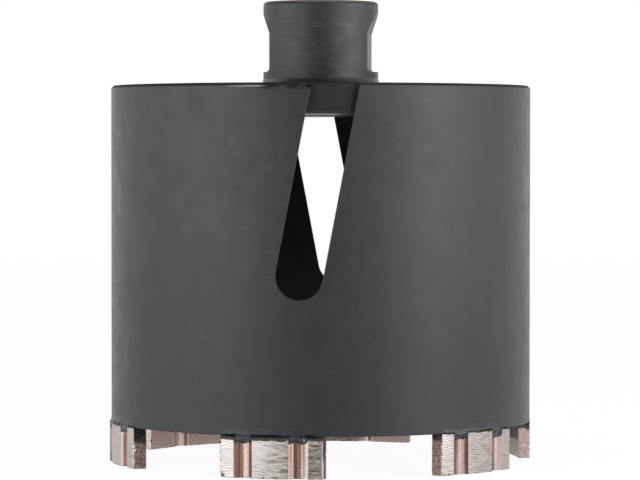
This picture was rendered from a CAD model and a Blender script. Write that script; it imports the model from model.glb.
import math
import random

import bmesh
import bpy
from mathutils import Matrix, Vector, noise


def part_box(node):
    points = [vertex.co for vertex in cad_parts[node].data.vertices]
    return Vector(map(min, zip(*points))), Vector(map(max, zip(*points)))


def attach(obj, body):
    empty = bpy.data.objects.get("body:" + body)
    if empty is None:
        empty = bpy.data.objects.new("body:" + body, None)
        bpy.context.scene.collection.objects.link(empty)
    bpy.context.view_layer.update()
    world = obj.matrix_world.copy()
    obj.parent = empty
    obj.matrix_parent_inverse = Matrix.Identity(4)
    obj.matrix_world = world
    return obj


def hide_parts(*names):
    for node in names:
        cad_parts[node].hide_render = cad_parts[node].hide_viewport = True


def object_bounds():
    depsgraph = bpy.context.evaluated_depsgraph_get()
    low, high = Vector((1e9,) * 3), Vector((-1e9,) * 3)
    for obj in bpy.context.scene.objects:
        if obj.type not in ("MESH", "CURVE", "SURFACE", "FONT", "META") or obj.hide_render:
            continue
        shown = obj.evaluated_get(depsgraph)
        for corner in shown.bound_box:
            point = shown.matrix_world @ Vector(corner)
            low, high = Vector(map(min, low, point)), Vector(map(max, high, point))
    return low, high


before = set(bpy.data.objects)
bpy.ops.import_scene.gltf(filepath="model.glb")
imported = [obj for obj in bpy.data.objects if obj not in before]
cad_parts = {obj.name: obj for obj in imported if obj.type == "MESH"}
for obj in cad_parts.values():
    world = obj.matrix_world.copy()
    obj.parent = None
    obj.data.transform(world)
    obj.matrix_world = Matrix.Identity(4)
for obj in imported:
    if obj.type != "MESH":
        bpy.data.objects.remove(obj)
cad_low, cad_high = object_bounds()

# Lengths are in metres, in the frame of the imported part: the bit stands on z = 0,
# its axis is Z and the camera looks along +Y.
MM = 0.001

# What the frame says about the bit
TUBE_LOW, TUBE_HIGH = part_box("tube")
TUBE_RADIUS = TUBE_HIGH.x
JOINT_Z = TUBE_LOW.z  # where the segments are brazed to the tube
TUBE_TOP_Z = TUBE_HIGH.z
CUT_RADIUS = cad_high.y
HUB_LOW, HUB_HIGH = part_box("threaded_hub")
HUB_RADIUS = HUB_HIGH.x

# Sizes that the segments share with their solids
SEGMENT_COUNT = 6
SEGMENT_TURN = -13.1  # degrees from -Y to the middle of segment_1
SEGMENT_LENGTH = 19.6 * MM
SEGMENT_INNER_RADIUS = 38.6 * MM
GROOVE_OFFSET = 5.225 * MM  # from a segment's middle to either outer groove

# Sizes that the hub shares with its solid, and the thread that stands in its plain bore
THREAD_RADIUS = 8.0 * MM
THREAD_BORE_RADIUS = 7.0 * MM
THREAD_PITCH = 2.0 * MM
SPIGOT_RADIUS = 9.6 * MM
HALF_FLATS = 9.5 * MM
FLATS_TURN = -5.0  # degrees
FLATS_FOOT = 2.7 * MM
FLATS_LENGTH = 7.5 * MM
FLATS_RUN_OUT = 22.5  # degrees from the axis
FLATS_CORNER = 0.8 * MM
HUB_RIM = 0.75 * MM  # radius of the top outer edge


# ---------------------------------------------------------------- shader helpers


def new_material(name):
    """An empty node material and its tree."""
    material = bpy.data.materials.new(name)
    material.use_nodes = True
    material.node_tree.nodes.clear()
    return material, material.node_tree


def add_node(tree, kind, inputs=None, **settings):
    """A node with its settings made and its inputs set to values or linked to sockets."""
    made = tree.nodes.new("ShaderNode" + kind)
    for name, value in settings.items():
        setattr(made, name, value)
    for name, value in (inputs or {}).items():
        if isinstance(value, bpy.types.NodeSocket):
            tree.links.new(value, made.inputs[name])
        else:
            made.inputs[name].default_value = value
    return made


def math_node(tree, operation, first, second=0.0):
    return add_node(tree, "Math", {0: first, 1: second}, operation=operation).outputs[0]


def multiply(tree, first, *others):
    for other in others:
        first = math_node(tree, "MULTIPLY", first, other)
    return first


def add(tree, first, *others):
    for other in others:
        first = math_node(tree, "ADD", first, other)
    return first


def remap(tree, value, low, high, to_low=0.0, to_high=1.0):
    """The value carried from one range to another, held at its ends."""
    inputs = {"Value": value, "From Min": low, "From Max": high}
    inputs.update({"To Min": to_low, "To Max": to_high})
    return add_node(tree, "MapRange", inputs).outputs["Result"]


def window(tree, value, low, high, soft):
    """1 between two values, falling to 0 outside them over a soft edge."""
    rise = remap(tree, value, low - soft, low)
    return multiply(tree, rise, remap(tree, value, high + soft, high))


# Sockets of a Mix node: its two values and its result
MIX_SOCKETS = {"FLOAT": (2, 3, 0), "VECTOR": (4, 5, 1), "RGBA": (6, 7, 2)}


def mix(tree, kind, share, first, second):
    """The first value where share is 0 and the second where it is 1."""
    at_first, at_second, result = MIX_SOCKETS[kind]
    inputs = {0: share, at_first: first, at_second: second}
    return add_node(tree, "Mix", inputs, data_type=kind).outputs[result]


def mix_colour(tree, share, first, second):
    return mix(tree, "RGBA", share, first, second)


def two_tone(tree, value, low, high, colours):
    """The first of two colours where the value is low and the second where it is high."""
    return mix_colour(tree, remap(tree, value, low, high), *colours)


def mix_shader(tree, share, first, second):
    return add_node(tree, "MixShader", {0: share, 1: first, 2: second}).outputs[0]


def shader(tree, kind, inputs):
    return add_node(tree, kind, inputs).outputs[0]


def diffuse(tree, colour):
    return shader(tree, "BsdfDiffuse", {"Color": colour})


def show(tree, surface, kind="OutputMaterial"):
    """End a tree in its surface."""
    add_node(tree, kind, {"Surface": surface})


def position(tree):
    """The place on the bit, as object coordinates: every piece has the frame's origin."""
    return add_node(tree, "TexCoord").outputs["Object"]


def axes(tree):
    """The three coordinates of the place on the bit, by name."""
    return add_node(tree, "SeparateXYZ", {0: position(tree)}).outputs


def stretched(tree, scale):
    """The place on the bit, multiplied along each axis."""
    inputs = {0: position(tree), 1: scale}
    return add_node(tree, "VectorMath", inputs, operation="MULTIPLY").outputs[0]


def noise_value(tree, size, detail=3.0, roughness=0.5, scale=(1.0, 1.0, 1.0), distortion=0.0):
    """Noise whose blobs are about size metres across before the axes are scaled."""
    inputs = {"Vector": stretched(tree, scale), "Scale": 0.5 / size, "Detail": detail}
    inputs.update({"Roughness": roughness, "Distortion": distortion})
    return add_node(tree, "TexNoise", inputs).outputs["Fac"]


def attribute(tree, name):
    return add_node(tree, "Attribute", attribute_name=name).outputs["Fac"]


def bump(tree, height, distance, normal=None):
    inputs = {"Height": height, "Distance": distance}
    if normal is not None:
        inputs["Normal"] = normal
    return add_node(tree, "Bump", inputs).outputs["Normal"]


def dot(tree, first, second):
    inputs = {0: first, 1: second}
    return add_node(tree, "VectorMath", inputs, operation="DOT_PRODUCT").outputs["Value"]


def facing(tree, direction):
    """How far the surface faces a direction, from -1 to 1."""
    return dot(tree, add_node(tree, "NewGeometry").outputs["True Normal"], direction)


def edge_share(tree, radius, low, high):
    """1 along sharp edges and 0 on flat ground, and the rounded normal that shows it."""
    rounded = add_node(tree, "Bevel", {"Radius": radius}, samples=6).outputs["Normal"]
    true = add_node(tree, "NewGeometry").outputs["True Normal"]
    return remap(tree, dot(tree, rounded, true), 1.0 - low, 1.0 - high), rounded


# ---------------------------------------------------------------- black coating

# Linear colours; a pair is a dark tone and a light one
COAT = ((0.0125, 0.0128, 0.0140, 1), (0.0225, 0.0230, 0.0245, 1))
BLACK = (0.0, 0.0, 0.0, 1)
COAT_BY_SEGMENTS = (0.0120, 0.0160, 0.0225, 1)
SCUFF = (0.085, 0.085, 0.088, 1)
RUBBED_EDGE = (0.19, 0.185, 0.185, 1)
RUBBED_RIM = (0.34, 0.315, 0.31, 1)
TURNING_MARK = (0.070, 0.068, 0.068, 1)
SOOT = (0.010, 0.010, 0.010, 1)
TUBE_BROWN = (0.036, 0.030, 0.027, 1)
PLATE_BROWN = (0.030, 0.026, 0.024, 1)
HUB_BROWN = (0.17, 0.125, 0.10, 1)
STEEL = ((0.36, 0.295, 0.25, 1), (0.55, 0.46, 0.40, 1))
FILM = ((0.12, 0.098, 0.084, 1), (0.19, 0.158, 0.138, 1))

# Marks on the front of the tube: from left to right along its rim, and beside the slot
RIM_RUBBED = (-16 * MM, -10.6 * MM)
RIM_SMOKED = (-10 * MM, -2.5 * MM)
RIM_BLACKENED = (-2.5 * MM, -1.6 * MM)
RIM_CORNER = (TUBE_TOP_Z - 0.74 * MM, TUBE_TOP_Z - 0.50 * MM)  # heights
SCUFFS_ACROSS = (-13.5 * MM, -7.5 * MM)
SCUFFS_UP = (36 * MM, 61 * MM)  # heights


def steel_below(tree, clouds, turned):
    """Turned steel that shows through a thin brown film."""
    metal = shader(
        tree,
        "BsdfPrincipled",
        {
            "Base Color": two_tone(tree, clouds, 0.35, 0.65, STEEL),
            "Metallic": 1.0,
            "Roughness": remap(tree, turned, 0.3, 0.7, 0.15, 0.22),
            "Normal": bump(tree, turned, 0.003 * MM),
        },
    )
    film = diffuse(tree, two_tone(tree, clouds, 0.35, 0.65, FILM))
    return mix_shader(tree, 0.70, metal, film)


def black_paint(name, flecks=0.06, lumps=0.06, marks=0.0, brown=TUBE_BROWN, gloss=0.5):
    """Satin black coating on steel: mottled, bluer by the segments, brown on upward faces, rubbed
    lighter along edges and thin underneath. Flecks and lumps say how strong these are, and marks
    scuffs, rubs and smokes the front of the tube."""
    material, tree = new_material(name)
    place = axes(tree)
    clouds = noise_value(tree, 9 * MM, detail=4.0, roughness=0.6)
    mottle = noise_value(tree, 2.0 * MM, detail=5.0, roughness=0.7)
    speckle = noise_value(tree, 0.35 * MM, detail=2.0)
    rings = noise_value(tree, 1.2 * MM, detail=4.0, roughness=0.65, scale=(0.6, 0.6, 2.6))

    # The coat itself, darker and bluer towards the segments
    fine = remap(tree, speckle, 0.3, 0.7, -0.035, 0.035)
    tone = add(tree, multiply(tree, clouds, 0.5), multiply(tree, mottle, 0.5), fine)
    colour = two_tone(tree, tone, 0.38, 0.62, COAT)
    dimmer = remap(tree, place["Z"], 48 * MM, 14 * MM, 0.0, 0.30)
    colour = mix_colour(tree, dimmer, colour, BLACK)
    ragged = add(tree, place["Z"], multiply(tree, clouds, 4 * MM))
    low = multiply(tree, remap(tree, ragged, 15 * MM, 10 * MM), 0.7)
    colour = mix_colour(tree, low, colour, COAT_BY_SEGMENTS)

    # Pale flecks drawn out round the axis: the stronger they are, the more they cover
    more = 0.16 * flecks
    covered = remap(tree, clouds, 0.42 - more, 0.60 - more)
    fleck = multiply(tree, remap(tree, rings, 0.50, 0.75), covered, flecks)
    colour = mix_colour(tree, fleck, colour, SCUFF)

    # Blotchy scuffs beside the front slot
    front = remap(tree, place["Y"], 0.0, -1 * MM)
    blotches = noise_value(tree, 0.75 * MM, roughness=0.65, scale=(0.75, 0.75, 1.25))
    blotches = remap(tree, blotches, 0.48, 0.70, 0.0, 0.15 * marks)
    across = window(tree, place["X"], *SCUFFS_ACROSS, 3 * MM)
    scuffed = multiply(tree, across, window(tree, place["Z"], *SCUFFS_UP, 6 * MM), front)
    colour = mix_colour(tree, multiply(tree, blotches, scuffed), colour, SCUFF)

    # Edges rubbed lighter, and a stretch of the rim's corner rubbed bright
    edges, rounded = edge_share(tree, 0.40 * MM, 0.02, 0.14)
    rubbed = multiply(tree, edges, remap(tree, speckle, 0.35, 0.55, 0.14, 0.28))
    colour = mix_colour(tree, rubbed, colour, RUBBED_EDGE)
    rim_low, rim_high = TUBE_TOP_Z - 1.5 * MM, TUBE_TOP_Z - 0.7 * MM
    at_rim = multiply(tree, remap(tree, place["Z"], rim_low, rim_high, 0.0, marks), front)
    bright = multiply(
        tree,
        at_rim,
        window(tree, place["X"], *RIM_RUBBED, 1.5 * MM),
        window(tree, place["Z"], *RIM_CORNER, 0.08 * MM),
        remap(tree, mottle, 0.36, 0.56, 0.35, 1.0),
    )
    colour = mix_colour(tree, bright, colour, RUBBED_RIM)

    # Upward faces: brown along the rims and round the hub, with turning marks
    upward = remap(tree, facing(tree, (0, 0, 1)), 0.40, 0.66)
    flat = stretched(tree, (1.0, 1.0, 0.0))
    radius = add_node(tree, "VectorMath", {0: flat}, operation="LENGTH").outputs["Value"]
    turned = add_node(
        tree,
        "TexNoise",
        {"W": multiply(tree, radius, 1.0 / MM), "Scale": 3.0, "Detail": 3.0},
        noise_dimensions="1D",
    ).outputs["Fac"]
    by_hub = math_node(
        tree,
        "SUBTRACT",
        remap(tree, add(tree, radius, multiply(tree, clouds, 6 * MM)), 19 * MM, 13 * MM),
        window(tree, place["Z"], TUBE_TOP_Z + 1 * MM, HUB_HIGH.z - 1.6 * MM, 0.3 * MM),
    )
    top = math_node(tree, "MAXIMUM", by_hub, remap(tree, radius, 37.3 * MM, 38.3 * MM))
    top = multiply(tree, top, upward)
    colour = mix_colour(tree, top, colour, brown)
    turning = multiply(tree, upward, remap(tree, turned, 0.45, 0.65, 0.0, 0.25))
    colour = mix_colour(tree, turning, colour, TURNING_MARK)

    # The coat as a surface, smoked in stretches of the rim and matt where it is brown
    ripple = bump(tree, speckle, 0.010 * MM, rounded)
    ripple = bump(tree, rings, 0.008 * MM, ripple)
    coated = shader(
        tree,
        "BsdfPrincipled",
        {
            "Base Color": colour,
            "Roughness": remap(tree, mottle, 0.3, 0.7, 0.37, 0.51),
            "Specular IOR Level": gloss,
            "Normal": bump(tree, mottle, lumps * MM, ripple),
        },
    )
    smoke = multiply(
        tree,
        at_rim,
        window(tree, place["X"], *RIM_SMOKED, 1.5 * MM),
        remap(tree, mottle, 0.40, 0.53),
        0.85,
    )
    blackened = multiply(tree, at_rim, window(tree, place["X"], *RIM_BLACKENED, 0.3 * MM))
    smoke = math_node(tree, "MAXIMUM", smoke, blackened)
    coated = mix_shader(tree, smoke, coated, diffuse(tree, SOOT))
    coated = mix_shader(tree, multiply(tree, top, 0.65), coated, diffuse(tree, brown))

    below = remap(tree, facing(tree, (0, 0, -1)), 0.78, 0.92)
    show(tree, mix_shader(tree, below, coated, steel_below(tree, clouds, turned)))
    return material


# ---------------------------------------------------------------- paint on the braze

# Linear colours; a pair is a dark tone and a light one
RUN = ((0.010, 0.012, 0.016, 1), (0.020, 0.023, 0.030, 1))
HUB_RUN = ((0.008, 0.008, 0.0085, 1), (0.013, 0.013, 0.0135, 1))
DROP = (0.014, 0.021, 0.037, 1)
WORN = (0.30, 0.285, 0.28, 1)
BURNT = (0.004, 0.004, 0.005, 1)
BARE_SPECK = (0.34, 0.35, 0.39, 1)


def glossy_paint(name, gloss=0.5, colours=RUN):
    """The same black coating where it has run over the braze: bluer and glossier on a drop, grey
    where it is worn, and with a burnt black line along the joint."""
    material, tree = new_material(name)
    lumps = noise_value(tree, 0.8 * MM)
    drop = attribute(tree, "drop")
    colour = mix_colour(tree, drop, two_tone(tree, lumps, 0.4, 0.6, colours), DROP)
    paint = shader(
        tree,
        "BsdfPrincipled",
        {
            "Base Color": mix_colour(tree, attribute(tree, "worn"), colour, WORN),
            "Roughness": remap(tree, drop, 0.0, 1.0, 0.42, 0.14),
            "Specular IOR Level": gloss,
            "Normal": bump(tree, lumps, 0.16 * MM),
        },
    )
    ragged = noise_value(tree, 1.6 * MM, detail=4.0, roughness=0.65)
    ragged = remap(tree, ragged, 0.3, 0.7, -0.65, 0.4)
    burnt = remap(tree, add(tree, attribute(tree, "burnt"), ragged), 0.25, 0.85, 0.0, 0.9)
    paint = mix_shader(tree, burnt, paint, diffuse(tree, BURNT))

    # Bare specks where the coat is thin over a drop
    specks = noise_value(tree, 0.22 * MM, detail=2.0, roughness=0.6, scale=(1, 1, 0.6))
    specks = multiply(tree, remap(tree, specks, 0.60, 0.68), remap(tree, drop, 0.5, 0.9))
    inputs = {"Base Color": BARE_SPECK, "Metallic": 1.0, "Roughness": 0.25}
    show(tree, mix_shader(tree, specks, paint, shader(tree, "BsdfPrincipled", inputs)))
    return material


# ---------------------------------------------------------------- metal of the segments

# Linear colours; a pair is the tone at the low and at the high end of a texture
GROUND = ((0.67, 0.64, 0.615, 1), (0.60, 0.555, 0.53, 1))
GROUND_ON_RIGHT = (0.62, 0.545, 0.545, 1)
GROUND_DULL = (0.27, 0.215, 0.18, 1)
FINE_SCRATCH = (0.16, 0.125, 0.105, 1)
LEVEL_SCRATCH = (0.11, 0.085, 0.07, 1)
DARK_STREAK = (0.10, 0.078, 0.065, 1)
PALE_STREAK = (0.62, 0.565, 0.52, 1)
COPPER = ((0.40, 0.255, 0.20, 1), (0.70, 0.52, 0.425, 1))
COPPER_MAUVE = (0.57, 0.445, 0.435, 1)
COPPER_RUBBED = (0.80, 0.75, 0.73, 1)
BROWN = ((0.11, 0.070, 0.056, 1), (0.42, 0.31, 0.265, 1))
DEEP_BROWN = ((0.090, 0.044, 0.033, 1), (0.28, 0.150, 0.112, 1))
SIDE_BROWN = ((0.110, 0.076, 0.066, 1), (0.375, 0.290, 0.258, 1))
SOOTY_BROWN = ((0.035, 0.024, 0.021, 1), (0.13, 0.092, 0.078, 1))
COAT_ON_SEGMENT = ((0.074, 0.060, 0.049, 1), (0.010, 0.011, 0.014, 1))


def level_lines(tree, spacing, length, wander):
    """Wavy, nearly level scratch lines that come and go: 1 along a line, 0 between."""
    drift = multiply(tree, noise_value(tree, length, detail=1.0), wander)
    phase = add(tree, math_node(tree, "DIVIDE", axes(tree)["Z"], spacing), drift)
    from_line = math_node(tree, "SUBTRACT", math_node(tree, "FRACT", phase), 0.5)
    from_line = math_node(tree, "ABSOLUTE", from_line)
    gate = add_node(
        tree,
        "TexNoise",
        {
            "Vector": position(tree),
            "W": multiply(tree, math_node(tree, "FLOOR", phase), 3.7),
            "Scale": 1.0 / length,
            "Detail": 1.0,
        },
        noise_dimensions="4D",
    ).outputs["Fac"]
    return multiply(tree, remap(tree, from_line, 0.30, 0.12), remap(tree, gate, 0.42, 0.60))


def ground_colour(tree, patches, fine, lines, streaks, on_right):
    """Ground lands: pale grey metal with dark level scratches, browner where it is dull."""
    colour = two_tone(tree, patches, 0.35, 0.7, GROUND)
    colour = mix_colour(tree, on_right, colour, GROUND_ON_RIGHT)
    dull = remap(tree, attribute(tree, "dull"), 0.1, 1.0)
    colour = mix_colour(tree, dull, colour, GROUND_DULL)
    fine = multiply(tree, fine, remap(tree, patches, 0.35, 0.65, 0.12, 0.28))
    colour = mix_colour(tree, fine, colour, FINE_SCRATCH)
    lines = multiply(tree, lines, attribute(tree, "lined"))
    colour = mix_colour(tree, lines, colour, LEVEL_SCRATCH)
    streaked = attribute(tree, "streaked")
    dark = multiply(tree, remap(tree, streaks, 0.49, 0.38), streaked)
    colour = mix_colour(tree, dark, colour, DARK_STREAK)
    pale = multiply(tree, remap(tree, streaks, 0.54, 0.64), streaked)
    return mix_colour(tree, pale, colour, PALE_STREAK)


def copper_colour(tree, place, drawn, patches, on_right):
    """Clean moulded faces: copper streaked along the grooves, mauve low down, pale where rubbed."""
    colour = two_tone(tree, drawn, 0.38, 0.60, COPPER)
    height = add(tree, place["Z"], multiply(tree, patches, 4 * MM))
    height = math_node(tree, "SUBTRACT", height, multiply(tree, on_right, 4 * MM))
    mauve = remap(tree, height, 6.5 * MM, 4 * MM, 0.1, 0.85)
    colour = mix_colour(tree, mauve, colour, COPPER_MAUVE)
    rubbed = remap(tree, attribute(tree, "dirt"), 0.0, -0.3)
    return mix_colour(tree, rubbed, colour, COPPER_RUBBED)


def dirt_colour(tree, place, texture):
    """Grime on moulded faces: brown, then deep brown, then sooty as it thickens."""
    grime = attribute(tree, "dirt")
    colour = two_tone(tree, texture, 0.40, 0.60, BROWN)
    deep = two_tone(tree, texture, 0.36, 0.64, DEEP_BROWN)
    colour = mix_colour(tree, remap(tree, grime, 0.95, 1.1), colour, deep)
    aside = math_node(tree, "ABSOLUTE", place["X"])
    aside = remap(tree, aside, 20 * MM, 33 * MM, 0.0, 0.55)
    shaded = two_tone(tree, texture, 0.40, 0.60, SIDE_BROWN)
    colour = mix_colour(tree, aside, colour, shaded)
    sooty = two_tone(tree, texture, 0.36, 0.64, SOOTY_BROWN)
    return mix_colour(tree, remap(tree, grime, 1.15, 1.4), colour, sooty)


def segment_metal(name):
    """Sintered bronze and diamond grit: silver where it is ground, copper and brown elsewhere,
    and black where the coating of the tube has run over its top. Attributes say where."""
    material, tree = new_material(name)
    place = axes(tree)
    grain = noise_value(tree, 0.20 * MM, detail=4.0, roughness=0.7)
    lumps = noise_value(tree, 0.9 * MM, roughness=0.6)
    drawn = noise_value(tree, 0.22 * MM, roughness=0.6, scale=(1, 1, 0.03))
    patches = noise_value(tree, 3.0 * MM)
    lines = level_lines(tree, 0.46 * MM, 2.0 * MM, 1.8)
    fine = level_lines(tree, 0.27 * MM, 2.6 * MM, 2.6)
    streaks = noise_value(tree, 0.26 * MM, roughness=0.6, scale=(0.2, 0.2, 1.0), distortion=1.2)
    fine_grain = remap(tree, grain, 0.3, 0.7, -0.2, 0.2)
    ground = remap(tree, add(tree, attribute(tree, "ground"), fine_grain), 0.4, 0.6)
    on_right = remap(tree, place["X"], 8 * MM, 24 * MM, 0.0, 0.55)
    silver = ground_colour(tree, patches, fine, lines, streaks, on_right)

    # Moulded faces, whose texture is drawn along the grooves of the outer face
    outside = attribute(tree, "outside")
    uneven = multiply(tree, remap(tree, drawn, 0.3, 0.7, -0.16, 0.16), outside)
    grainy = remap(tree, grain, 0.3, 0.7, -0.14, 0.14)
    dirt = add(tree, attribute(tree, "dirt"), uneven, grainy)
    moulded = mix_colour(
        tree,
        remap(tree, dirt, 0.25, 0.75),
        copper_colour(tree, place, drawn, patches, on_right),
        dirt_colour(tree, place, mix(tree, "FLOAT", outside, grain, drawn)),
    )

    # Relief: rough where it is moulded, cut by the scratches where it is ground
    rough = bump(tree, drawn, 0.008 * MM, bump(tree, grain, 0.012 * MM))
    cut = bump(tree, streaks, multiply(tree, attribute(tree, "streaked"), 0.020 * MM))
    cut = bump(tree, lines, multiply(tree, attribute(tree, "lined"), -0.020 * MM), cut)
    cut = bump(tree, fine, -0.003 * MM, cut)
    roughness = (
        remap(tree, dirt, 0.1, 0.9, 0.24, 0.46),
        remap(tree, attribute(tree, "dull"), 0.1, 0.9, 0.24, 0.40),
    )
    metal = shader(
        tree,
        "BsdfPrincipled",
        {
            "Base Color": mix_colour(tree, ground, moulded, silver),
            "Metallic": 1.0,
            "Roughness": mix(tree, "FLOAT", ground, *roughness),
            "Normal": mix(tree, "VECTOR", ground, rough, cut),
        },
    )

    # The coat of the tube, brown at its ragged edge
    coat = add(
        tree,
        attribute(tree, "paint"),
        remap(tree, lumps, 0.3, 0.7, -0.3, 0.3),
        remap(tree, grain, 0.3, 0.7, -0.25, 0.25),
    )
    coating = shader(
        tree,
        "BsdfPrincipled",
        {
            "Base Color": two_tone(tree, coat, 1.5, 2.1, COAT_ON_SEGMENT),
            "Roughness": 0.45,
            "Specular IOR Level": 0.2,
            "Normal": bump(tree, grain, 0.03 * MM),
        },
    )
    show(tree, mix_shader(tree, remap(tree, coat, 0.42, 0.62), metal, coating))
    return material


# ---------------------------------------------------------------- mesh helpers


def dress(piece, material):
    piece.data.materials.clear()
    piece.data.materials.append(material)


def new_piece(name, vertices, faces, material, replaced):
    """A closed, smooth-shaded mesh piece that rides on the bit in place of a CAD node."""
    mesh = bpy.data.meshes.new(name)
    mesh.from_pydata(vertices, [], faces)
    cleaner = bmesh.new()
    cleaner.from_mesh(mesh)
    bmesh.ops.recalc_face_normals(cleaner, faces=cleaner.faces)
    cleaner.to_mesh(mesh)
    cleaner.free()
    for polygon in mesh.polygons:
        polygon.use_smooth = True
    mesh.update()
    piece = bpy.data.objects.new(name, mesh)
    bpy.context.scene.collection.objects.link(piece)
    dress(piece, material)
    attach(piece, "root")
    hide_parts(replaced)
    return piece


def write_attributes(piece, names, rows):
    """Give each vertex its row of values, one for each name."""
    for name, values in zip(names, zip(*rows)):
        piece.data.attributes.new(name, "FLOAT", "POINT").data.foreach_set("value", values)


def steps(low, high, spacing):
    """Even values from low to high, about one spacing apart."""
    count = max(1, round((high - low) / spacing))
    return [low + (high - low) * index / count for index in range(count + 1)]


def smooth_step(value, low, high):
    share = min(1.0, max(0.0, (value - low) / (high - low)))
    return share * share * (3 - 2 * share)


def soft_min(first, second, blend):
    """The smaller of two values, with a rounded change from one to the other."""
    share = max(blend - abs(first - second), 0.0) / blend
    return min(first, second) - share * share * blend * 0.25


def lumpy(point, size, seed):
    """Smooth noise between -1 and 1 with blobs about size metres across."""
    return noise.noise(Vector(point) / size + Vector((seed * 7.3, seed * 3.1, seed * 5.7)))


def lathe_grid(name, rows, columns, material, replaced):
    """A closed ring of rows; each row gives a radius and height for every angle."""
    vertices, faces = [], []
    for row in rows:
        for column in range(columns):
            angle = 2 * math.pi * column / columns
            radius, height = row(angle)
            vertices.append((radius * math.cos(angle), radius * math.sin(angle), height))
    for index in range(len(rows)):
        here, there = index * columns, (index + 1) % len(rows) * columns
        for column in range(columns):
            beside = (column + 1) % columns
            faces.append((here + column, here + beside, there + beside, there + column))
    return new_piece(name, vertices, faces, material, replaced)


def shell_faces(across, through, up):
    """The lattice points on the skin of a block of cells, and the skin's faces."""
    places = {}
    faces = []

    def at(*cell):
        return places.setdefault(cell, len(places))

    for i in range(across):
        for k in range(up):
            for j in (0, through):
                faces.append((at(i, j, k), at(i + 1, j, k), at(i + 1, j, k + 1), at(i, j, k + 1)))
    for j in range(through):
        for k in range(up):
            for i in (0, across):
                faces.append((at(i, j, k), at(i, j + 1, k), at(i, j + 1, k + 1), at(i, j, k + 1)))
        for i in range(across):
            for k in (0, up):
                faces.append((at(i, j, k), at(i + 1, j, k), at(i + 1, j + 1, k), at(i, j + 1, k)))
    return list(places), faces


# ---------------------------------------------------------------- segments

# Half of a groove's section: distance from its middle and depth, both in mm. An outer groove
# opens radially, so that its wall towards the segment's end is flatter than the other one.
INNER_SECTION = ((0.0, 1.0), (0.45, 0.985), (0.85, 0.90), (1.08, 0.74), (1.30, 0.50), (1.77, 0.0))
FLAT_SECTION = ((0.0, 1.0), (0.3, 0.99), (0.55, 0.93), (0.85, 0.73), (1.30, 0.37), (1.77, 0.0))
STEEP_SECTION = ((0.0, 1.0), (0.7, 0.985), (1.0, 0.88), (1.2, 0.69), (1.77, 0.0))

# How dirty a groove is at places across it, in mm: below 0 is rubbed copper, 0 clean copper and
# 1 brown. Keys are the segment and whether it is the groove on its +x side, as it is built.
GROOVE_DIRT = {
    (1, False): (
        (-1.75, 0.7), (-1.5, 0.7), (-1.4, 1.15), (-0.75, 1.1), (-0.6, 1.02), (-0.15, 0.98),
        (-0.03, 0.0), (0.9, 0.0), (1.08, 0.0), (1.18, 1.1), (1.28, 1.0), (1.36, -0.1),
        (1.46, 0.0), (1.56, 1.15),
    ),
    (1, True): (
        (-1.6, 0.0), (-1.45, 0.35), (-1.3, 0.0), (-1.1, 0.1), (-0.95, 1.1), (-0.5, 1.1),
        (-0.4, 1.0), (0.15, 1.0), (0.28, 0.4), (0.8, 0.35), (0.92, -0.3),
    ),
    (2, False): ((-1.7, 1.1), (0.1, 1.0), (0.28, 0.1), (1.25, 0.1), (1.38, 0.9), (1.5, 1.3)),
    (2, True): ((0.1, 1.05), (0.3, 0.1), (1.6, 0.1), (1.7, 1.2)),
    (6, False): ((-1.0, 1.1), (1.0, 1.1)),
    (6, True): ((-1.7, 0.4), (-1.5, 0.3), (-1.38, 1.05), (-1.1, 1.15)),
}  # fmt: skip
INNER_DIRT = (
    (-1.95, 0.62), (-1.85, 0.1), (-1.72, 0.1), (-1.62, 1.2), (-1.38, 1.2), (-1.22, 0.2),
    (-0.9, 0.0), (-0.4, 0.0), (-0.2, 0.5), (0.9, 0.6), (1.7, 1.0), (1.85, 0.9), (1.95, 0.84),
)  # fmt: skip

# How dull the ground lands are at places along a segment, in mm: 0 is bright and 1 is brown.
# Segments without a row of their own take those of segment 2, here and in the next two tables.
LAND_DULL = {
    1: (
        (-9.8, 0.0), (-7.0, 0.05), (-3.4, 0.12), (0.0, 0.28), (3.4, 0.55), (7.0, 0.7),
        (9.4, 0.8), (9.6, 0.1),
    ),
    2: ((-9.8, 0.12), (-7.0, 0.14), (-3.4, 0.22), (3.4, 0.4), (9.8, 0.45)),
    6: ((-9.8, 0.7), (0.0, 0.55), (7.0, 0.42), (9.8, 0.40)),
}  # fmt: skip
# How strong the level lines and the wavy streaks of the same lands are
LAND_LINES = {
    1: ((-9.8, 0.22), (-4.0, 0.22), (0.0, 0.34), (3.4, 0.46), (9.2, 0.46), (9.4, 0.0)),
    2: ((-9.8, 0.44), (-3.4, 0.58), (3.4, 0.54), (7.0, 0.34)),
    6: ((-9.8, 0.10), (3.4, 0.14), (9.8, 0.25)),
}
LAND_STREAKS = {
    1: (
        (-9.8, 0.12), (-4.0, 0.14), (-0.5, 0.36), (1.0, 0.62), (3.4, 0.72), (7.0, 0.95),
        (9.2, 0.95), (9.4, 0.0),
    ),
    2: ((-9.8, 0.18), (3.4, 0.24), (9.8, 0.10)),
    6: ((-9.8, 0.06), (7.0, 0.22), (9.8, 0.45)),
}  # fmt: skip

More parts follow.
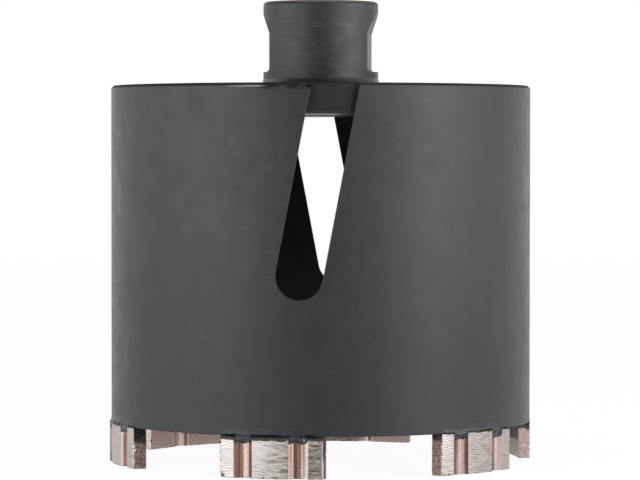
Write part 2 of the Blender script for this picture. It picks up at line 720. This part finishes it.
# How far the tube's coat reaches below the joint, in mm, on the outer face, the inner face and
# the ends; how ragged and how soft its edge is on the ends; and how dirty the -x and +x ends are
PLAIN_FINISH = {
    "outer_film": 0.5,
    "inner_film": 0.2,
    "end_film": 1.3,
    "end_ragged": 0.0,
    "end_soft": 0.6,
    "end_dirt": (0.9, 0.9),
}
SEGMENT_FINISH = {
    1: {"outer_film": 0.72, "end_film": 4.5, "end_dirt": (0.95, 1.3)},
    2: {"outer_film": 0.15},
    3: {"inner_film": 4.3, "end_film": 2.1, "end_dirt": (0.62, 0.9)},
    5: {"end_dirt": (0.9, 0.5)},
    6: {
        "outer_film": 0.22,
        "end_film": 3.1,
        "end_ragged": 0.9,
        "end_soft": 0.95,
        "end_dirt": (0.9, 1.02),
    },
}
# Ends rubbed to bare metal, keyed by segment and whether it is the +x end: how bare and how dull
BARE_ENDS = {(3, False): (0.45, 0.6), (5, True): (0.56, 0.3)}
# The one large chip of a segment's outer edge: which end, height, size and depth in mm
LARGE_CHIPS = {1: (-1, 0.2, 1.2, 0.40), 6: (1, 3.6, 0.5, 0.22)}
# How black the burnt line along the joint is
SCORCHED = {1: 1.0, 2: 0.75, 6: 0.55}
SCORCHED_ELSEWHERE = 0.9

FACE_INSET = 0.012 * MM  # of the ground faces inside the cutting circle
LAND_DEPTH = 0.02 * MM  # less than this is ground land and not groove
LAND_ROUGH = 0.0012 * MM
GROOVE_ROUGH = 0.010 * MM
SKIN_ROUGH = 0.022 * MM  # elsewhere
EDGE_BREAK = 0.045 * MM
CHIP_SEEN = 0.03 * MM  # a deeper chip changes the look

RUN_INSET = 0.03 * MM  # of a paint run's ends, inside the segment's
RUN_BACK = 0.45 * MM  # how deep in the metal the back of a run lies

# The attributes that segment_metal reads, in the order in which segment_look gives them
SEGMENT_LOOK = ("ground", "dirt", "paint", "dull", "lined", "streaked", "outside")


def from_table(table, place):
    """The value at a place, read between the rows of a table of places and values."""
    if place <= table[0][0]:
        return table[0][1]
    for (near, near_value), (far, far_value) in zip(table, table[1:]):
        if place <= far:
            return near_value + (far_value - near_value) * (place - near) / (far - near)
    return table[-1][1]


def outer_groove(x):
    """How deep the outer grooves are at a place along the segment."""
    across = abs(x) - GROOVE_OFFSET
    section = FLAT_SECTION if across > 0 else STEEP_SECTION
    return from_table(section, abs(across) / MM) * MM


def outer_face(x):
    """How far the outer face stands from the axis, straight out from the segment's middle."""
    return math.sqrt((CUT_RADIUS - FACE_INSET) ** 2 - x * x) - outer_groove(x)


def inner_face(x):
    bare = math.sqrt(SEGMENT_INNER_RADIUS**2 - x * x)
    return bare + from_table(INNER_SECTION, abs(x) / MM) * MM


def segment_turn(number):
    """Angle from -Y to a segment's middle, in radians."""
    return math.radians(SEGMENT_TURN + 360 / SEGMENT_COUNT * (number - 1))


def set_round(turn, x, out, z):
    """A point of a segment's own frame, turned to its place round the bit."""
    sine, cosine = math.sin(turn), math.cos(turn)
    return (x * cosine + out * sine, x * sine - out * cosine, z)


def make_chips(number, half):
    """Chips along a segment's edges: place, share of the way in, height, size and depth."""
    chance = random.Random(40 + number)
    chips = []
    for _ in range(9):
        x = chance.choice((-half, half)) if chance.random() < 0.4 else chance.uniform(-half, half)
        z = 0.0 if abs(x) < half else chance.uniform(0.3, 6.5) * MM
        share = chance.choice((0.0, 0.0, 1.0))
        size, depth = chance.uniform(0.25, 0.5), chance.uniform(0.06, 0.18)
        chips.append((x, share, z, size * MM, depth * MM))
    if number in LARGE_CHIPS:
        end, z, size, depth = LARGE_CHIPS[number]
        chips.append((end * half, 0.0, z * MM, size * MM, depth * MM))
    return chips


def chip_depth(number, chips, point):
    """How much the deepest chip takes off at a point."""
    deepest = 0.0
    for x, share, z, size, depth in chips:
        out = outer_face(x) if share == 0.0 else inner_face(x)
        away = math.dist(point, (x, out, z)) / size
        away += 0.25 * lumpy(point, 0.35 * MM, number + 4)
        deepest = max(deepest, depth * smooth_step(1.0 - away, 0.0, 0.7))
    return deepest


def coat_reach(number, finish, face, point):
    """How far below the joint the coat of the tube has run at a point."""
    if face == "outer" and outer_groove(point[0]):
        return (1.3 + 0.5 * lumpy(point, 0.9 * MM, number + 2)) * MM
    if face == "outer":
        return (finish["outer_film"] + 0.16 * lumpy(point, 2.0 * MM, number + 2)) * MM
    if face == "inner":
        return (finish["inner_film"] + 0.3 * lumpy(point, 1.2 * MM, number + 3)) * MM
    if face == "end":
        reach = (finish["end_film"] + 0.6 * lumpy(point, 1.4 * MM, number + 2)) * MM
        return reach + finish["end_ragged"] * MM * lumpy(point, 0.55 * MM, number + 5)
    return 0.2 * MM


def segment_look(number, finish, face, point, far, land, chipped):
    """The values of SEGMENT_LOOK at a point of the skin. Far is false at the -x end only."""
    x, _, z = point
    soft = (finish["end_soft"] if face == "end" else 0.35) * MM
    reach = coat_reach(number, finish, face, point)
    paint = min(3.0, max(-0.5, 0.5 + (z - JOINT_Z + reach) / soft))
    dull, lined, streaked = (
        from_table(table.get(number, table[2]), x / MM)
        for table in (LAND_DULL, LAND_LINES, LAND_STREAKS)
    )
    ground, dirt = 0.0, finish["end_dirt"][far]
    if face == "outer":
        across = (x - math.copysign(GROOVE_OFFSET, x)) / MM
        dirt = from_table(GROOVE_DIRT.get((number, x > 0), GROOVE_DIRT[(2, False)]), across)
    elif face == "inner":
        dirt = from_table(INNER_DIRT, x / MM)
        if number == 3:
            dirt += 0.08
        elif number == 5 and x > 1.8 * MM:
            dirt -= 0.24
    elif face == "end" and (number, far) in BARE_ENDS:
        ground, dull = BARE_ENDS[number, far]
    if land:
        ground = 1.0

    # The left land of segment 6 is dirty, and a chip shows the metal or holds dirt
    if number == 6 and x < -GROOVE_OFFSET and face == "outer":
        ground, dirt = 0.0, 0.92
    if chipped > CHIP_SEEN:
        if number == 1 and x < -8 * MM:
            dull = 0.55
        elif number == 6 and z > 2 * MM:
            ground, dull = 1.0, 0.0
        else:
            ground, dirt = 0.0, max(dirt, 1.2)
    return ground, dirt, paint, dull, lined, streaked, 1.0 if face == "outer" else 0.0


def make_segment(number, material):
    """Ground and moulded segment with broken edges, chips, dirt and paint on its top."""
    half = SEGMENT_LENGTH / 2
    xs = steps(-half, half, 0.14 * MM)
    shares = steps(0.0, 1.0, 1 / 15)
    ups = steps(0.0, JOINT_Z, 0.16 * MM)
    last_x, last_share = len(xs) - 1, len(shares) - 1
    cells, faces = shell_faces(last_x, last_share, len(ups) - 1)
    chips = make_chips(number, half)
    finish = PLAIN_FINISH | SEGMENT_FINISH.get(number, {})
    turn = segment_turn(number)
    vertices, looks = [], []
    for i, j, k in cells:
        x, z = xs[i], ups[k]
        outer = outer_face(x)
        point = (x, outer + (inner_face(x) - outer) * shares[j], z)
        face = "end" if i in (0, last_x) else {0: "outer", last_share: "inner"}.get(j, "flat")
        land = face == "outer" and outer_groove(x) < LAND_DEPTH

        # The skin lies a little in the metal: rough all over, broken along edges and chipped
        inward = Vector(((i == 0) - (i == last_x), (j == last_share) - (j == 0), k == 0))
        rough = LAND_ROUGH if land else GROOVE_ROUGH if face == "outer" else SKIN_ROUGH
        sunk = rough * (1 + lumpy(point, 0.45 * MM, number))
        if inward.length_squared > 1.5:
            sunk += EDGE_BREAK * (1.1 + lumpy(point, 0.7 * MM, number + 9))
        chipped = chip_depth(number, chips, point)
        moved = Vector(point) + inward.normalized() * (sunk + chipped)
        vertices.append(set_round(turn, moved.x, moved.y, min(moved.z, JOINT_Z)))
        land = land or (face == "end" and j == 0)
        looks.append(segment_look(number, finish, face, point, i > 0, land, chipped))
    piece = new_piece(
        f"segment_bronze_{number}", vertices, faces, material, f"segment_{number}"
    )
    write_attributes(piece, SEGMENT_LOOK, looks)


def paint_run_front(number, x, z, drop_length, drop_skew):
    """How far from the axis the front of a segment's run of paint stands. A drop has a length in
    mm, and a skew in mm from the groove's middle to its lowest point."""
    above = z - JOINT_Z
    bare, depth = outer_face(x), outer_groove(x)
    ragged = lumpy((x, number * MM, 0), 0.8 * MM, number + 20)
    if above >= -0.2 * MM:
        # Hollow fillet from the tube out to the edge of the land, sagging over a groove
        half = SEGMENT_LENGTH / 2 - RUN_INSET
        tube = math.sqrt(TUBE_RADIUS**2 - x * x)
        share = min(1.0, (above + 0.2 * MM) / (1.6 * MM))
        full = bare + depth + 0.008 * MM - tube - 0.10 * depth
        ends = 1.0 - smooth_step(abs(x), half - 1.2 * MM, half)
        out = tube - 0.006 * MM + full * (1 - share) ** (3.2 + 0.6 * ragged) * ends
        return out - 0.12 * MM * smooth_step(abs(x), half - 0.5 * MM, half)

    # Drop in a groove, hidden under the surface elsewhere
    from_drop = abs((x - math.copysign(GROOVE_OFFSET, x)) / MM - drop_skew)
    length = drop_length * (1 - 0.16 * from_drop) + 0.15 * ragged
    fill = math.sqrt(max(0.0, 1 - (-above / MM / max(0.3, length)) ** 2))
    bulge = 1 - 0.5 * smooth_step(from_drop, 0.2, 1.4)
    out = bare + 0.92 * depth * fill * bulge
    if fill == 0.0 or depth < 0.03 * MM:
        out = bare - 0.04 * MM
    if depth:
        out += 0.03 * MM * lumpy((x, 0, z), 0.45 * MM, number + 30)
    return out


def make_paint_run(number, material):
    """Paint and braze along a segment's top: a long hollow fillet, and drops in the grooves."""
    half = SEGMENT_LENGTH / 2 - RUN_INSET
    xs = steps(-half, half, 0.15 * MM)
    ups = steps(JOINT_Z - 2.1 * MM, JOINT_Z + 1.7 * MM, 0.11 * MM)
    cells, faces = shell_faces(len(xs) - 1, 1, len(ups) - 1)
    chance = random.Random(70 + number)
    drops = {
        right: (chance.uniform(1.25, 1.7), chance.uniform(-0.4, 0.4)) for right in (False, True)
    }
    scorched = SCORCHED.get(number, SCORCHED_ELSEWHERE)
    turn = segment_turn(number)
    vertices, looks = [], []
    for i, j, k in cells:
        x, z = xs[i], ups[k]
        if j:
            behind = math.sqrt(TUBE_RADIUS**2 - x * x) if z - JOINT_Z >= 0 else outer_face(x)
            out = behind - RUN_BACK
        else:
            out = paint_run_front(number, x, z, *drops[x >= 0])
        out = min(out, math.sqrt((CUT_RADIUS - 0.003 * MM) ** 2 - x * x))
        vertices.append(set_round(turn, x, out, z))

        above = (z - JOINT_Z) / MM
        in_groove = smooth_step(outer_groove(x) / MM, 0.1, 0.5)
        line = smooth_step(above, -0.45, -0.15) * (1 - smooth_step(above, 0.2, 0.45))
        burnt = scorched * line * (1 - 0.9 * in_groove)
        looks.append((burnt, in_groove * (1 - smooth_step(above, -0.3, 0.2))))
    name, replaced = f"segment_paint_run_{number}", f"segment_braze_{number}"
    piece = new_piece(name, vertices, faces, material, replaced)
    write_attributes(piece, ("burnt", "drop"), looks)


# ---------------------------------------------------------------- hub


def hub_radius_at(angle, z):
    """Outer radius of the hub's collar: round, with a soft rim and two spanner flats."""
    radius = HUB_RADIUS
    rim_foot = HUB_HIGH.z - HUB_RIM
    if z > rim_foot:
        radius -= HUB_RIM - math.sqrt(max(0.0, HUB_RIM**2 - (z - HUB_HIGH.z + HUB_RIM) ** 2))
    foot = TUBE_TOP_Z + FLATS_FOOT
    straight = foot + FLATS_LENGTH
    if z < foot:
        return radius
    width = HALF_FLATS
    if z < foot + FLATS_CORNER:
        width += FLATS_CORNER - math.sqrt(FLATS_CORNER**2 - (foot + FLATS_CORNER - z) ** 2)
    elif z > straight:
        width += (z - straight) / math.tan(math.radians(90 - FLATS_RUN_OUT))
    for side in (0.0, math.pi):
        cosine = math.cos(angle - math.radians(FLATS_TURN) - side)
        if cosine > 0.3:
            radius = soft_min(radius, width / cosine, 0.12 * MM)
    return radius


def thread_radius_at(angle, z):
    """Radius of the metric thread's flank, crest or root, opened by its lead-in cones."""
    phase = (z / THREAD_PITCH - angle / (2 * math.pi)) % 1.0
    ramp = min(phase, 1.0 - phase) * 2  # 0 in the middle of a crest, 1 in the middle of a root
    share = min(1.0, max(0.0, (ramp - 0.25) / 0.625))
    radius = THREAD_BORE_RADIUS + (THREAD_RADIUS - THREAD_BORE_RADIUS) * share
    for end in (HUB_LOW.z, HUB_HIGH.z):
        radius = max(radius, THREAD_RADIUS + 0.15 * MM - abs(z - end))
    return radius


def make_hub(material):
    """Turned collar, spigot and a real helical thread, one closed grid."""

    def collar(z):
        return lambda angle: (hub_radius_at(angle, z), z)

    def ring(radius, z):
        return lambda angle: (radius, z)

    def rim(share):
        def place(angle):
            outside = hub_radius_at(angle, HUB_HIGH.z)
            inside = thread_radius_at(angle, HUB_HIGH.z)
            return outside + (inside - outside) * share, HUB_HIGH.z

        return place

    def bore(z):
        return lambda angle: (thread_radius_at(angle, z), z)

    foot = TUBE_TOP_Z + FLATS_FOOT
    straight = foot + FLATS_LENGTH
    rim_turns = [math.radians(turn) for turn in range(9, 91, 9)]
    heights = (
        steps(TUBE_TOP_Z, foot - 0.02 * MM, 0.6 * MM)
        + steps(foot + 0.01 * MM, foot + FLATS_CORNER, 0.1 * MM)
        + steps(foot + FLATS_CORNER + 0.3 * MM, straight, 0.6 * MM)
        + steps(straight + 0.12 * MM, HUB_HIGH.z - 0.8 * MM, 0.16 * MM)
        + [HUB_HIGH.z - HUB_RIM * (1 - math.sin(turn)) for turn in rim_turns]
    )
    corner = 0.08 * MM
    rows = [
        ring(THREAD_RADIUS + 3 * corner, HUB_LOW.z),
        ring(SPIGOT_RADIUS - corner, HUB_LOW.z),
        ring(SPIGOT_RADIUS, HUB_LOW.z + corner),
        ring(SPIGOT_RADIUS, TUBE_TOP_Z - corner),
        ring(SPIGOT_RADIUS + corner, TUBE_TOP_Z),
        ring(HUB_RADIUS - corner, TUBE_TOP_Z),
    ]
    rows += [collar(z) for z in heights]
    rows += [rim(share) for share in (0.15, 0.5, 0.85)]
    rows += [bore(z) for z in steps(HUB_LOW.z, HUB_HIGH.z, 0.125 * MM)[::-1]]
    lathe_grid("hub_turned", rows, 300, material, "threaded_hub")


def make_hub_braze(material):
    """Uneven ring of painted braze where the hub meets the plate."""

    def height(angle):
        return (1.38 + 0.16 * lumpy((math.cos(angle), math.sin(angle), 0), 0.35, 3)) * MM

    def reach(angle):
        return (0.40 + 0.06 * lumpy((math.cos(angle), math.sin(angle), 0), 0.25, 5)) * MM

    def row(share):
        # A shallow hollow between the crest on the hub and the toe on the plate
        return lambda angle: (
            HUB_RADIUS + 0.012 * MM + reach(angle) * share**1.15,
            TUBE_TOP_Z + height(angle) * (1 - share) ** 1.15,
        )

    # The back of the ring lies in the hub and the plate
    rows = [row(index / 8) for index in range(9)]
    rows += [
        lambda angle: (HUB_RADIUS + 0.02 * MM, TUBE_TOP_Z - 0.15 * MM),
        lambda angle: (HUB_RADIUS - 0.4 * MM, TUBE_TOP_Z - 0.15 * MM),
        lambda angle: (HUB_RADIUS - 0.4 * MM, TUBE_TOP_Z + 0.6 * MM),
        lambda angle: (HUB_RADIUS - 0.03 * MM, TUBE_TOP_Z + height(angle) + 0.10 * MM),
    ]
    ring = lathe_grid("hub_braze_ring", rows, 240, material, "hub_braze")
    worn = []
    for vertex in ring.data.vertices:
        # Dusty on the left and right, clean in front; a pale line along the crest
        angle = math.degrees(math.atan2(vertex.co.x, -vertex.co.y))  # 0 in front, 90 on the right
        share = 1.25 * smooth_step(-angle, 24, 66) if angle < 0 else smooth_step(angle, 36, 78)
        share = 0.45 * share * (1 - smooth_step(abs(angle), 95, 130))
        share += 0.10 * smooth_step((vertex.co.z - TUBE_TOP_Z) / MM, 1.15, 1.35)
        worn.append((max(0.0, share + 0.05 * lumpy(vertex.co, 3 * MM, 8)),))
    write_attributes(ring, ("worn",), worn)


# ---------------------------------------------------------------- studio

# Softboxes that stand round the bit: side, degrees round from the camera, distance and height
# of the middle in metres, and how bright the face is
SOFTBOXES = (
    ("left_front", -1, 35, 0.707, 0.13, 2.45),
    ("left_middle", -1, 58, 0.707, 0.13, 3.9),
    ("left_side", -1, 85, 0.707, 0.13, 2.4),
    ("left_back", -1, 115, 0.707, 0.13, 0.9),
    ("left_rear", -1, 145, 0.707, 0.13, 0.67),
    ("right_front_near", 1, 33, 0.45, 0.20, 2.6),
    ("right_middle_near", 1, 58, 0.45, 0.14, 3.05),
    ("right_middle", 1, 58, 0.707, 0.13, 1.7),
    ("right_side_near", 1, 83, 0.45, 0.14, 1.3),
    ("right_side_high", 1, 83, 0.45, 0.20, 2.0),
    ("right_back", 1, 115, 0.707, 0.13, 0.8),
    ("right_rear", 1, 145, 0.707, 0.13, 0.8),
)
SOFTBOX_HEIGHT = 0.24
SOFTBOX_SPREAD = 0.47  # width over distance

# How bright the room is to the bit: all round, towards the camera and overhead
ROOM_LEVEL, ROOM_BY_CAMERA, ROOM_OVERHEAD = 0.32, 0.14, 0.09

WHITE = (1, 1, 1, 1)

# The camera that was fitted to the outline in the photograph
CAMERA_PLACE = (-0.14 * MM, -642.6 * MM, 60.85 * MM)
CAMERA_LENS = 185.8  # mm on a sensor 36 mm wide
CAMERA_DOWN = 1.619  # degrees
CAMERA_ROLL = -0.036  # degrees


def area_light(name, place, target, width, height, radiance):
    """A softbox that faces the target, with a set brightness of its face."""
    light = bpy.data.lights.new(name, "AREA")
    light.shape = "RECTANGLE"
    light.size, light.size_y = width, height
    light.energy = radiance * math.pi * width * height
    made = bpy.data.objects.new(name, light)
    made.location = place
    made.rotation_euler = (Vector(target) - Vector(place)).to_track_quat("-Z", "Y").to_euler()
    bpy.context.scene.collection.objects.link(made)


def make_lights():
    for name, side, azimuth, distance, height, radiance in SOFTBOXES:
        around = math.radians(azimuth)
        place = (side * distance * math.sin(around), -distance * math.cos(around), height)
        width = SOFTBOX_SPREAD * distance
        area_light(name, place, (0, 0, 0.06), width, SOFTBOX_HEIGHT, radiance)
    area_light("overhead", (0.0, -0.15, 0.9), (0, 0, 0.07), 0.7, 0.7, 0.8)


def shown_to(tree):
    """1 for the rays that show the background itself, and 1 for glossy rays."""
    rays = add_node(tree, "LightPath").outputs
    seen = math_node(tree, "MAXIMUM", rays["Is Camera Ray"], rays["Is Transmission Ray"])
    return seen, rays["Is Glossy Ray"]


def make_world():
    """White to the camera; to the bit a dim room that is darkest round the camera."""
    world = bpy.data.worlds.new("studio")
    bpy.context.scene.world = world
    world.use_nodes = True
    tree = world.node_tree
    tree.nodes.clear()
    direction = add_node(tree, "TexCoord").outputs["Generated"]
    forward = dot(tree, direction, (0, -1, 0))
    upward = dot(tree, direction, (0, 0, 1))
    level = remap(tree, forward, 0.55, 0.95, ROOM_LEVEL, ROOM_BY_CAMERA)
    overhead = remap(tree, upward, 0.35, 0.75, ROOM_LEVEL, ROOM_OVERHEAD)
    level = math_node(tree, "MINIMUM", level, overhead)
    room = shader(tree, "Background", {"Color": (1.0, 1.0, 1.02, 1), "Strength": level})
    white = shader(tree, "Background", {"Color": WHITE, "Strength": 1.0})
    seen, _ = shown_to(tree)
    show(tree, mix_shader(tree, seen, room, white), "OutputWorld")


def make_stage():
    """Pale floor that keeps a light shadow, and a white backdrop behind the bit."""
    bpy.ops.mesh.primitive_plane_add(size=6.0, location=(0, 0, -0.02 * MM))
    floor = bpy.context.object
    floor.name = "floor"
    material, tree = new_material("floor_white")
    glow = shader(tree, "Emission", {"Color": WHITE, "Strength": 0.95})
    shown = shader(tree, "AddShader", {0: glow, 1: diffuse(tree, (0.08, 0.08, 0.08, 1))})
    pale = diffuse(tree, (0.82, 0.82, 0.82, 1))
    share = math_node(tree, "MAXIMUM", *shown_to(tree))
    show(tree, mix_shader(tree, share, pale, shown))
    dress(floor, material)

    upright = (math.pi / 2, 0, 0)
    bpy.ops.mesh.primitive_plane_add(size=1.0, location=(0, 1.2, 0.4), rotation=upright)
    backdrop = bpy.context.object
    backdrop.name = "backdrop"
    backdrop.scale = (1.0, 1.6, 1.0)
    material, tree = new_material("backdrop_white")
    show(tree, shader(tree, "Emission", {"Color": WHITE, "Strength": 1.0}))
    dress(backdrop, material)


def make_camera():
    """Long lens a little above the middle of the bit, looking slightly down."""
    camera = bpy.data.cameras.new("camera")
    camera.sensor_width = 36.0
    camera.lens = CAMERA_LENS
    camera.clip_end = 20.0
    made = bpy.data.objects.new("camera", camera)
    made.location = CAMERA_PLACE
    made.rotation_euler = (math.radians(90 - CAMERA_DOWN), math.radians(CAMERA_ROLL), 0)
    bpy.context.scene.collection.objects.link(made)
    bpy.context.scene.camera = made


make_camera()
make_world()
make_stage()
make_lights()

dress(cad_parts["tube"], black_paint("black_paint", marks=1.0))
dress(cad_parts["back_plate"], black_paint("plate_paint", brown=PLATE_BROWN, gloss=0.35))
braze_paint = glossy_paint("glossy_paint")
metal = segment_metal("segment_metal")
make_hub(black_paint("hub_paint", flecks=0.42, lumps=0.14, brown=HUB_BROWN))
make_hub_braze(glossy_paint("hub_braze_paint", gloss=0.25, colours=HUB_RUN))
for number in range(1, SEGMENT_COUNT + 1):
    make_segment(number, metal)
    make_paint_run(number, braze_paint)

bpy.context.scene.view_settings.view_transform = "Standard"
